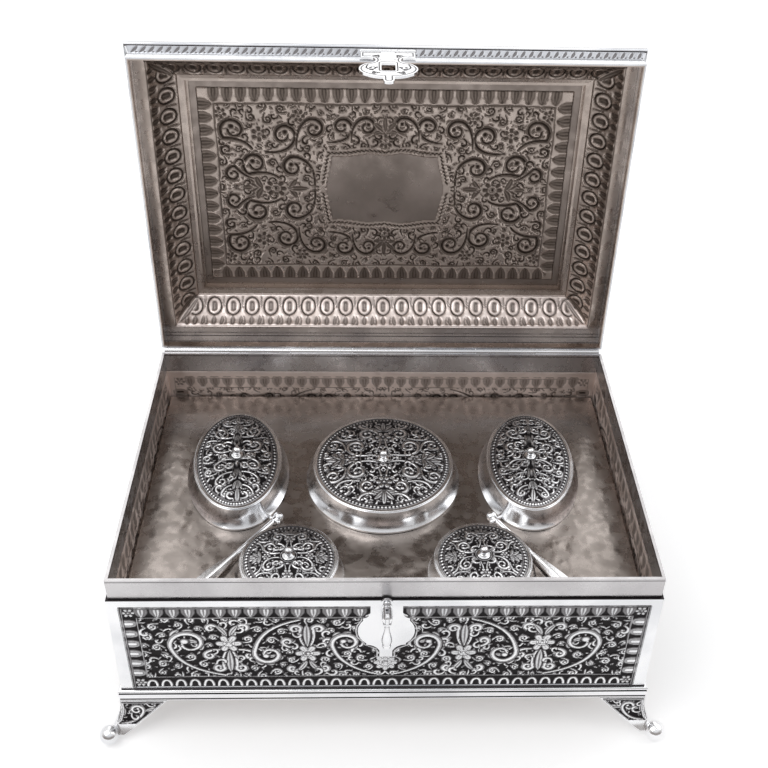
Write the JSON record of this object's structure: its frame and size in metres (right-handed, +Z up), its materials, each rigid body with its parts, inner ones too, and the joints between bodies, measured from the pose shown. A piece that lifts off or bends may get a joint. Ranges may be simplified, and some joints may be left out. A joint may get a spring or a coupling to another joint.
{
  "type": "paan box",
  "caption": "Chased silver paan box on cast ball feet, with a hinged hollow lid, hasp latch, and a lift-out tray of round and oval covered pots with spoons.",
  "frame": {"origin": "on the ground, midway between the four feet, below the middle of the box body", "axes": "+X to the right seen from the front, +Y from the latch to the hinge, +Z up"},
  "size_m": [0.3132, 0.25, 0.3145],
  "materials": {
    "silver_polished": "polished silver, lightly worn",
    "silver_chased": "chased silver with a dark oxidised ground",
    "silver_inside": "warm, lightly tarnished silver"
  },
  "bodies": {
    "box": {"rim_band": "silver_polished", "front_panel": "silver_chased", "right_panel": "silver_chased", "back_panel": "silver_chased", "left_panel": "silver_chased", "base_moulding": "silver_polished", "floor_plate": "silver_inside", "tray_ledges": "silver_inside", "foot_front_left": "silver_polished", "foot_front_right": "silver_polished", "foot_back_left": "silver_polished", "foot_back_right": "silver_polished", "body_hinge_knuckles": "silver_polished", "hinge_pin": "silver_polished", "latch_stud": "silver_polished", "latch_pin": "silver_polished"},
    "lid": {"lid_wall": "silver_polished", "lid_rest_strip": "silver_inside", "lid_cove": "silver_chased", "lid_step": "silver_polished", "lid_top_panel": "silver_chased", "lid_hinge_knuckles": "silver_polished", "hasp_lid_knuckles": "silver_polished", "hasp_pin": "silver_polished"},
    "hasp": {"hasp_plate": "silver_polished"},
    "latch_tongue": {"latch_tongue": "silver_polished"},
    "tray": {"tray": "silver_inside", "tray_edge_wire": "silver_inside"},
    "pot_centre": {"pot_centre": "silver_inside"},
    "cover_centre": {"cover_centre": "silver_chased", "knob_centre": "silver_polished"},
    "pot_left_oval": {"pot_left_oval": "silver_inside"},
    "cover_left_oval": {"cover_left_oval": "silver_chased", "knob_left_oval": "silver_polished"},
    "pot_right_oval": {"pot_right_oval": "silver_inside"},
    "cover_right_oval": {"cover_right_oval": "silver_chased", "knob_right_oval": "silver_polished"},
    "pot_left_round": {"pot_left_round": "silver_inside"},
    "cover_left_round": {"cover_left_round": "silver_chased", "knob_left_round": "silver_polished"},
    "pot_right_round": {"pot_right_round": "silver_inside"},
    "cover_right_round": {"cover_right_round": "silver_chased", "knob_right_round": "silver_polished"},
    "spoon_left": {"spoon_left": "silver_polished", "finial_left": "silver_polished"},
    "spoon_right": {"spoon_right": "silver_polished", "finial_right": "silver_polished"}
  },
  "joints": [
    {"name": "lid_hinge", "type": "hinge", "parent": "box", "child": "lid", "pos_m": [0, 0.0959, 0.11995], "axis": [-1, 0, 0], "range_deg": [-92, 0]},
    {"name": "hasp_hinge", "type": "hinge", "parent": "lid", "child": "hasp", "pos_m": [0, 0.10862, 0.31222], "axis": [-1, 0, 0], "range_deg": [0, 120]},
    {"name": "tongue_pivot", "type": "hinge", "parent": "box", "child": "latch_tongue", "pos_m": [0, -0.10455, 0.1045], "axis": [-1, 0, 0], "range_deg": [0, 90]},
    {"name": "tray_lift", "type": "slide", "parent": "box", "child": "tray", "axis": [0, 0, 1], "range_m": [0, 0.06]},
    {"name": "pot_lift_centre", "type": "slide", "parent": "tray", "child": "pot_centre", "axis": [0, 0, 1], "range_m": [0, 0.055]},
    {"name": "cover_lift_centre", "type": "slide", "parent": "pot_centre", "child": "cover_centre", "axis": [0, 0, 1], "range_m": [0, 0.035]},
    {"name": "pot_lift_left_oval", "type": "slide", "parent": "tray", "child": "pot_left_oval", "axis": [0, 0, 1], "range_m": [0, 0.055]},
    {"name": "cover_lift_left_oval", "type": "slide", "parent": "pot_left_oval", "child": "cover_left_oval", "axis": [0, 0, 1], "range_m": [0, 0.035]},
    {"name": "pot_lift_right_oval", "type": "slide", "parent": "tray", "child": "pot_right_oval", "axis": [0, 0, 1], "range_m": [0, 0.055]},
    {"name": "cover_lift_right_oval", "type": "slide", "parent": "pot_right_oval", "child": "cover_right_oval", "axis": [0, 0, 1], "range_m": [0, 0.035]},
    {"name": "pot_lift_left_round", "type": "slide", "parent": "tray", "child": "pot_left_round", "axis": [0, 0, 1], "range_m": [0, 0.055]},
    {"name": "cover_lift_left_round", "type": "slide", "parent": "pot_left_round", "child": "cover_left_round", "axis": [0, 0, 1], "range_m": [0, 0.035]},
    {"name": "pot_lift_right_round", "type": "slide", "parent": "tray", "child": "pot_right_round", "axis": [0, 0, 1], "range_m": [0, 0.055]},
    {"name": "cover_lift_right_round", "type": "slide", "parent": "pot_right_round", "child": "cover_right_round", "axis": [0, 0, 1], "range_m": [0, 0.035]},
    {"name": "spoon_lift_left", "type": "slide", "parent": "tray", "child": "spoon_left", "axis": [0, 0, 1], "range_m": [0, 0.04]},
    {"name": "spoon_lift_right", "type": "slide", "parent": "tray", "child": "spoon_right", "axis": [0, 0, 1], "range_m": [0, 0.04]}
  ]
}
